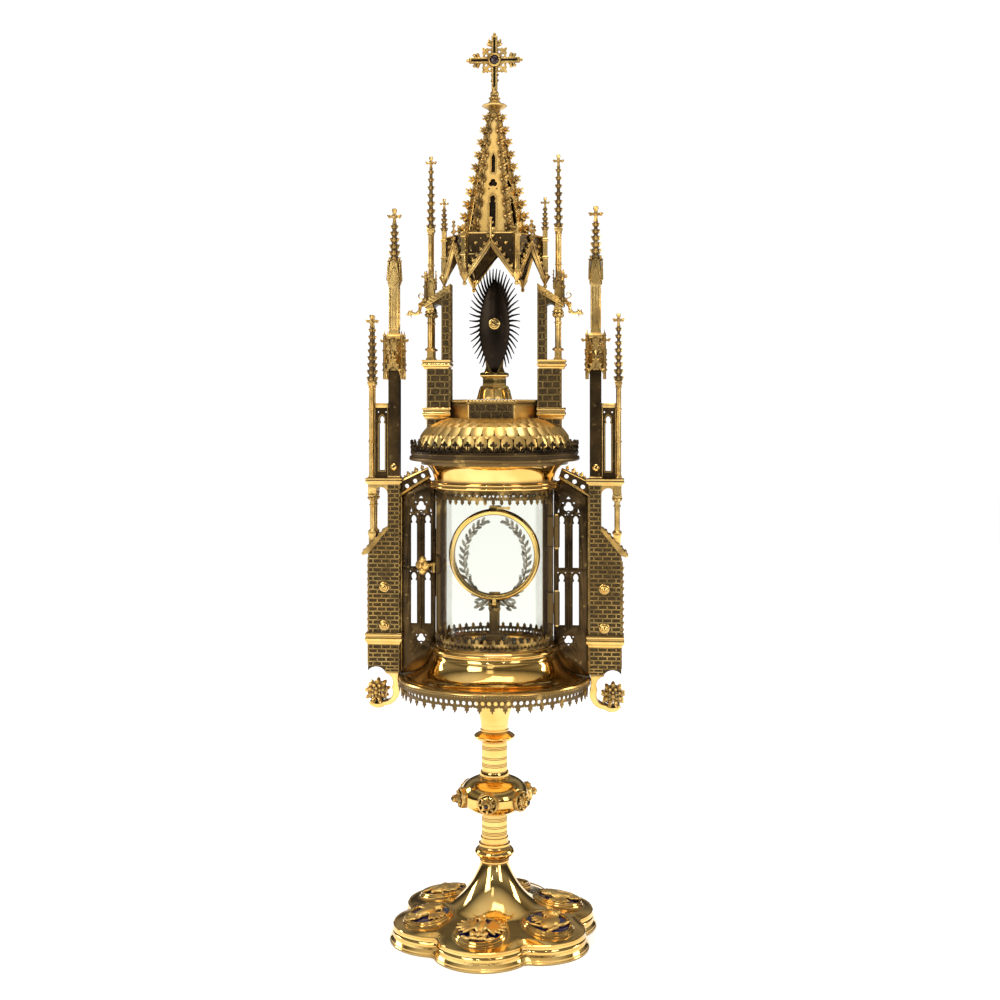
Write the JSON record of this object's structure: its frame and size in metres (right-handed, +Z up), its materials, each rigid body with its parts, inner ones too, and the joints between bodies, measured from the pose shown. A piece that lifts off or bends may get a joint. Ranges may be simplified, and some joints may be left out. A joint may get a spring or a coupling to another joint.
{
  "type": "tower monstrance",
  "caption": "Gothic tower monstrance: hexafoil foot, knopped stem, round glass drum with hinged door and sliding lunette, flanking towers, canopy, spire and cross.",
  "frame": {"origin": "bottom centre of the foot, on the altar", "axes": "+Z up the stem, -Y towards the glass door, +X towards the door's hinges"},
  "size_m": [0.24, 0.1904, 0.8104],
  "materials": {
    "gilt": "fire gilt brass, satin with bright edges",
    "aged_gilt": "darkened gilding, brown in the recesses",
    "steel": "plain turned steel",
    "silver": "chased silver",
    "glass": "clear bent glass",
    "enamel": "glossy blue vitreous enamel",
    "garnet": "polished dark red cabochon"
  },
  "bodies": {
    "root": {"base_deck": "gilt", "base_flare": "gilt", "calyx": "gilt", "canopy": "gilt", "canopy_pinnacles": "gilt", "crestings": "aged_gilt", "cross": "gilt", "drum_ceiling": "gilt", "drum_floor": "gilt", "drum_posts": "gilt", "fixed_hinge_leaves": "gilt", "flying_stays": "gilt", "foot": "gilt", "foot_base_plate": "steel", "front_glass": "glass", "gargoyles": "gilt", "garnets": "garnet", "hex_plinth": "gilt", "hinge_pins": "gilt", "inner_pinnacles": "gilt", "inner_tower_left": "gilt", "inner_tower_right": "gilt", "knop": "gilt", "knop_bosses": "gilt", "latch_keeper": "gilt", "lunette_track": "gilt", "mandorla": "aged_gilt", "mandorla_pedestal": "gilt", "medallion_bezels": "gilt", "medallion_enamels": "enamel", "medallion_reliefs": "gilt", "outer_pinnacles": "gilt", "outer_tower_left": "gilt", "outer_tower_right": "gilt", "roof_cornice": "gilt", "roof_dome": "aged_gilt", "scroll_brackets": "gilt", "side_pinnacles": "gilt", "spire": "gilt", "stem_sections": "gilt", "tie_nut": "gilt", "tie_rod": "steel", "tower_columns": "gilt", "tower_cornices": "gilt", "wall_fasteners": "gilt", "wing_panels": "aged_gilt"},
    "door": {"door_frame": "gilt", "door_glass": "glass", "door_crestings": "aged_gilt", "door_hinge_leaves": "gilt"},
    "latch": {"latch_knob": "gilt"},
    "lunette": {"lunette_stand": "gilt", "lunette_ring": "gilt", "lunette_glass": "glass", "lunette_hinge_pin": "gilt", "silver_wreath": "silver"},
    "gate": {"lunette_gate": "gilt", "gate_glass": "glass"},
    "clasp": {"clasp_lever": "gilt"}
  },
  "joints": [
    {"name": "door_hinge", "type": "hinge", "parent": "root", "child": "door", "pos_m": [0.0562, -0.0055, 0.3265], "axis": [0, 0, 1], "range_deg": [0, 95]},
    {"name": "latch_turn", "type": "hinge", "parent": "door", "child": "latch", "pos_m": [-0.0505, -0.0025, 0.3307], "axis": [-0.7071, -0.7071, 0], "range_deg": [-90, 0]},
    {"name": "lunette_slide", "type": "slide", "parent": "root", "child": "lunette", "axis": [0, -1, 0], "range_m": [0, 0.01]},
    {"name": "gate_hinge", "type": "hinge", "parent": "lunette", "child": "gate", "pos_m": [0, -0.0022, 0.2952], "axis": [1, 0, 0], "range_deg": [0, 15]},
    {"name": "clasp_turn", "type": "hinge", "parent": "lunette", "child": "clasp", "pos_m": [0.004, -0.005, 0.3814], "axis": [0, 1, 0], "range_deg": [0, 90]}
  ]
}
